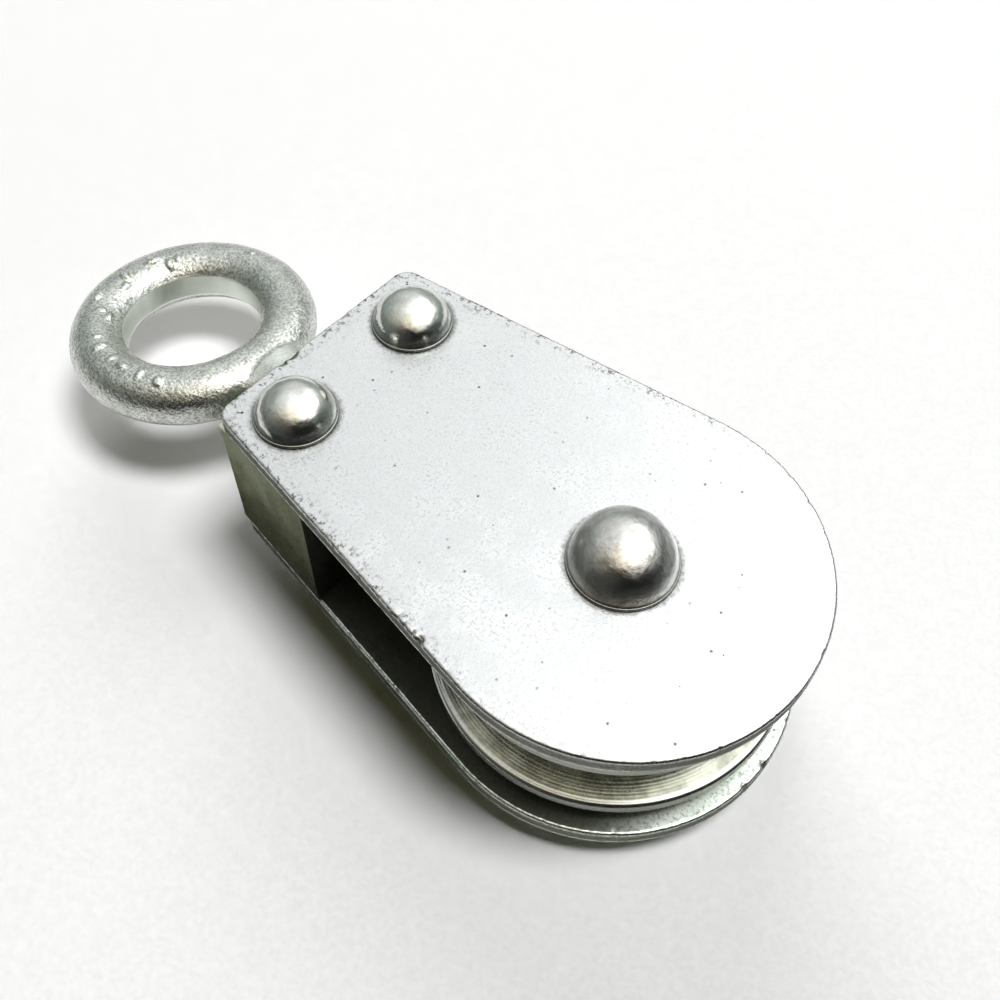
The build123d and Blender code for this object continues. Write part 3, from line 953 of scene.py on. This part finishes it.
def studio_floor():
    """A round white table, no wider than the lamps light evenly."""
    radius, corners = 0.65, 128
    mesh = bpy.data.meshes.new("floor")
    turns = [2 * math.pi * k / corners for k in range(corners)]
    points = [(radius * math.cos(turn), radius * math.sin(turn), FLOOR_Z * MM) for turn in turns]
    mesh.from_pydata(points, [], [tuple(range(corners))])
    stage_object("floor", mesh, floor_paint())


studio_floor()


# What the metal sees round it: card tones by azimuth (columns) and elevation (rows).
CARD_AZIMUTHS = [-180, -135, -90, -45, 0, 45, 90, 135]
CARD_TONES = {
    -6: [0.18, 0.08, 0.02, 0.02, 0.10, 0.30, 0.45, 0.35],
    5: [0.20, 0.08, 0.02, 0.02, 0.10, 0.36, 0.50, 0.40],
    22: [0.32, 0.12, 0.02, 0.03, 0.20, 0.70, 0.70, 0.55],
    33: [0.48, 0.18, 0.02, 0.06, 0.90, 2.20, 0.92, 0.68],
    36: [0.55, 0.20, 0.02, 0.10, 1.80, 2.70, 0.98, 0.74],
    43: [0.75, 0.30, 0.03, 1.60, 2.80, 3.80, 1.10, 0.84],
    46: [0.82, 0.55, 0.90, 2.20, 3.00, 3.50, 1.18, 0.92],
    54: [1.00, 1.00, 1.30, 2.60, 3.40, 2.60, 1.38, 1.10],
    64: [1.20, 1.30, 1.80, 2.80, 3.40, 2.40, 1.75, 1.35],
    72: [1.45, 1.60, 1.90, 2.30, 2.70, 2.10, 1.90, 1.60],
    89: [1.80] * 8,
}


CARD_RADIUS = 0.36
WARM_MIDDLE = (-110, 50)  # azimuth and elevation of the warmest cards
# A dark sheet on the floor toward the viewer, seen only in the metal: painted shade for the viewer's
# shadow on the floor.
PAINTED_FLOOR_SHADE_TONE = 0.04
PAINTED_FLOOR_SHADE_REACH = (0.075, 0.35)
PAINTED_FLOOR_SHADE_AZIMUTHS = list(range(-165, -14, 15))


def dome_points():
    """(place, tone, warmth) on the dome, row by row, and how many points there are in a row."""
    elevations = sorted(CARD_TONES)
    table = np.array([CARD_TONES[e] + CARD_TONES[e][:1] for e in elevations])
    columns = CARD_AZIMUTHS + [180]
    azimuths = list(range(-180, 180, 5))
    made = []
    for e in list(range(-6, 90, 3)) + [89]:
        row = [np.interp(e, elevations, table[:, k]) for k in range(len(columns))]
        for a in azimuths:
            sideways = max(0.0, math.cos(math.radians(a - WARM_MIDDLE[0])))
            upward = max(0.0, math.cos(math.radians(1.6 * (e - WARM_MIDDLE[1]))))
            tone = float(np.interp(a, columns, row))
            made.append((CARD_RADIUS * view_way(a, e), tone, sideways * upward))
    return made, len(azimuths)


def painted_floor_shade_points():
    """(place, tone, warmth) of a dark sheet on the floor toward the viewer, seen only in the metal:
    painted shade for the viewer's shadow on the floor.
    """
    lift = Vector((0, 0, FLOOR_Z * MM + 0.0005))
    return [
        (reach * view_way(a) + lift, PAINTED_FLOOR_SHADE_TONE, 0.0)
        for reach in PAINTED_FLOOR_SHADE_REACH
        for a in PAINTED_FLOOR_SHADE_AZIMUTHS
    ]


def card_paint():
    """Emission by tone: greenish where dark, neutral where light, warm by warmth.
    It doesn't reach a matt surface by way of a metal one."""
    material = bpy.data.materials.new("card_tones")
    tree = empty_tree(material)
    output = add_node(tree, "ShaderNodeOutputMaterial")
    card = add_node(tree, "ShaderNodeEmission")
    tone = add_node(tree, "ShaderNodeAttribute", attribute_name="tone")
    warm = add_node(tree, "ShaderNodeAttribute", attribute_name="warmth")
    tint = add_node(tree, "ShaderNodeMix", data_type="RGBA")
    cool = add_node(tree, "ShaderNodeMix", data_type="RGBA")
    cool.inputs["A"].default_value = rgb(0.84, 1.0, 0.92)
    cool.inputs["B"].default_value = rgb(0.98, 1.0, 1.0)
    tree.links.new(tone.outputs["Fac"], cool.inputs["Factor"])
    tree.links.new(cool.outputs["Result"], tint.inputs["A"])
    tint.inputs["B"].default_value = rgb(1.0, 0.91, 0.76)
    tree.links.new(warm.outputs["Fac"], tint.inputs["Factor"])
    tree.links.new(tint.outputs["Result"], card.inputs["Color"])
    path = add_node(tree, "ShaderNodeLightPath")
    direct = add_node(tree, "ShaderNodeMath", operation="LESS_THAN")
    direct.inputs[1].default_value = 0.5
    tree.links.new(path.outputs["Diffuse Depth"], direct.inputs[0])
    strength = add_node(tree, "ShaderNodeMath", operation="MULTIPLY")
    tree.links.new(tone.outputs["Fac"], strength.inputs[0])
    tree.links.new(direct.outputs[0], strength.inputs[1])
    tree.links.new(strength.outputs[0], card.inputs["Strength"])
    tree.links.new(card.outputs[0], output.inputs["Surface"])
    return material


def studio_cards():
    """A dome of cards from dark to white, seen only in the metal, which they give its shape."""
    made, wide = dome_points()
    faces = []
    for j in range(len(made) // wide - 1):
        for i in range(wide):
            m = (i + 1) % wide
            faces.append((j * wide + i, (j + 1) * wide + i, (j + 1) * wide + m, j * wide + m))
    # The painted floor shade joins the dome in one mesh.
    start, long = len(made), len(PAINTED_FLOOR_SHADE_AZIMUTHS)
    made += painted_floor_shade_points()
    for k in range(start, start + long - 1):
        faces.append((k, k + 1, k + long + 1, k + long))
    points, tones, warmth = zip(*made)
    mesh = bpy.data.meshes.new("cards")
    mesh.from_pydata([tuple(point) for point in points], [], faces)
    for name, values in (("tone", tones), ("warmth", warmth)):
        mesh.attributes.new(name, "FLOAT", "POINT").data.foreach_set("value", values)
    cards = stage_object("cards", mesh, card_paint())
    cards.visible_camera = False
    cards.visible_diffuse = False
    cards.visible_shadow = False


studio_cards()

scene = bpy.context.scene
scene.view_settings.view_transform = "Standard"
